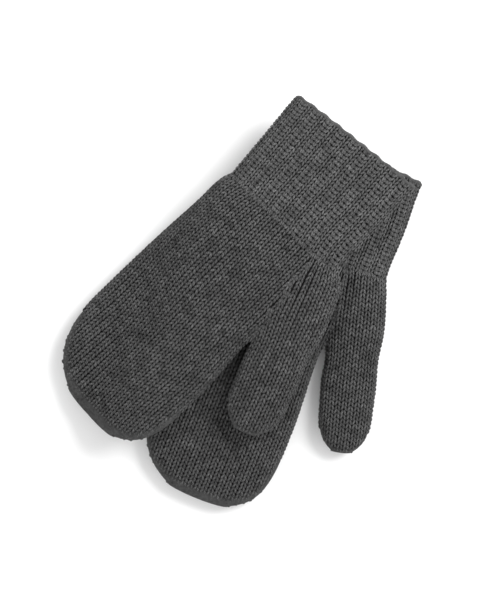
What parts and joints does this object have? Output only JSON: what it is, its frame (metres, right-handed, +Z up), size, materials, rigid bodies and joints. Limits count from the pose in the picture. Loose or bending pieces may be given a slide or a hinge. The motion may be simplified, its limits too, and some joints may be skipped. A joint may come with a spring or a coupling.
{
  "type": "pair of knitted mittens",
  "caption": "Pair of charcoal knitted mittens with ribbed cuffs, side thumbs and fleece linings, one lying across the other; thumbs swing, fingers fold, cuff turns back.",
  "frame": {"origin": "on the table under the middle of the lower mitten's palm", "axes": "+X toward the upper mitten's thumb side, +Y toward its cuff, fingertips toward -Y, +Z up from the table"},
  "size_m": [0.1989, 0.2671, 0.0443],
  "materials": {
    "hand_knit": "charcoal wool stockinette, matt with a soft fibre halo",
    "rib_knit": "charcoal wool two by one rib, matt, a little lighter than the hand",
    "edge_knit": "smooth rolled cast-on edge in charcoal wool",
    "fleece": "dark brushed fleece, matt",
    "seam_yarn": "charcoal sewing yarn"
  },
  "bodies": {
    "lower_mitten": {"lower_cuff_edge": "edge_knit", "lower_rib_cuff": "rib_knit", "lower_palm_knit": "hand_knit", "lower_finger_knit": "hand_knit", "lower_palm_lining": "fleece", "lower_finger_lining": "fleece", "lower_lining_hem": "seam_yarn", "lower_fingertip_seam": "seam_yarn"},
    "lower_thumb": {"lower_thumb_knit": "hand_knit", "lower_thumb_lining": "fleece", "lower_thumb_tip_seam": "seam_yarn"},
    "upper_mitten": {"upper_palm_knit": "hand_knit", "upper_palm_lining": "fleece", "upper_lining_hem": "seam_yarn"},
    "upper_cuff": {"upper_cuff_edge": "edge_knit", "upper_rib_cuff": "rib_knit"},
    "upper_fingers": {"upper_finger_knit": "hand_knit", "upper_finger_lining": "fleece", "upper_fingertip_seam": "seam_yarn"},
    "upper_thumb": {"upper_thumb_knit": "hand_knit", "upper_thumb_lining": "fleece", "upper_thumb_tip_seam": "seam_yarn"}
  },
  "joints": [
    {"name": "upper_mitten_lift", "type": "slide", "parent": "lower_mitten", "child": "upper_mitten", "axis": [0, 0, 1], "range_m": [0, 0.08]},
    {"name": "upper_thumb_swing", "type": "hinge", "parent": "upper_mitten", "child": "upper_thumb", "pos_m": [0.0179, 0.0005, 0.0328], "axis": [0, 0, 1], "range_deg": [-6, 20]},
    {"name": "upper_fingers_fold", "type": "hinge", "parent": "upper_mitten", "child": "upper_fingers", "pos_m": [-0.0421, -0.036, 0.0442], "axis": [-1, 0, 0], "range_deg": [0, 75]},
    {"name": "upper_cuff_turn_back", "type": "hinge", "parent": "upper_mitten", "child": "upper_cuff", "pos_m": [-0.0421, 0.0548, 0.0442], "axis": [1, 0, 0], "range_deg": [0, 110]},
    {"name": "lower_thumb_swing", "type": "hinge", "parent": "lower_mitten", "child": "lower_thumb", "pos_m": [0.05701, 0.02695, 0.0102], "axis": [0, 0, 1], "range_deg": [-6, 20]}
  ]
}
